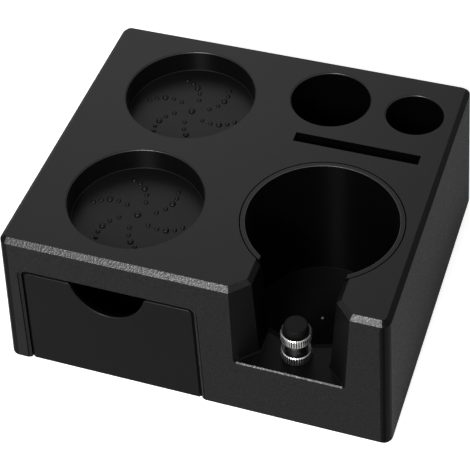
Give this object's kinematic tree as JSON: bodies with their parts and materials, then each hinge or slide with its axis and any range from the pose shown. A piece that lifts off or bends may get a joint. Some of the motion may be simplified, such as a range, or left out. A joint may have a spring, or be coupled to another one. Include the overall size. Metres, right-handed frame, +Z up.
{
  "type": "espresso tamping station",
  "caption": "Counter-top box with tamper recesses, a deep portafilter well with a front notch and screw-adjustable support post, tool cups, a tool slot and a drawer.",
  "frame": {"origin": "middle of the footprint, on the counter under the feet", "axes": "+X to the right, +Y to the back, +Z up; the drawer and the notch face -Y"},
  "size_m": [0.2, 0.1766, 0.0833],
  "materials": {
    "body": "fine spark texture, satin",
    "liner": "satin",
    "drawer": "smooth satin",
    "plate": "as moulded",
    "screw": "zinc plated",
    "foot": "soft matt",
    "post": "polished nickel plate",
    "pad": "soft matt"
  },
  "bodies": {
    "housing": {"housing": "body", "well_liner": "liner", "base_plate": "plate", "base_screws": "screw", "foot_front_left": "foot", "foot_front_right": "foot", "foot_back_left": "foot", "foot_back_right": "foot", "support_base": "post"},
    "drawer": {"drawer": "drawer"},
    "support_pad": {"support_pad": "pad"},
    "support_head": {"support_head": "post"}
  },
  "joints": [
    {"name": "drawer_slide", "type": "slide", "parent": "housing", "child": "drawer", "axis": [0, -1, 0], "range_m": [0, 0.12]},
    {"name": "support_rise", "type": "slide", "parent": "housing", "child": "support_pad", "axis": [0, 0, 1], "range_m": [0, 0.01]},
    {"name": "support_turn", "type": "hinge", "parent": "support_pad", "child": "support_head", "pos_m": [0.0489, -0.0732, 0.05], "axis": [0, 0, 1], "range_deg": [0, 3600]}
  ],
  "couplings": [
    {"joint": "support_turn", "follows": "support_rise", "rad_per_m": 6283}
  ]
}
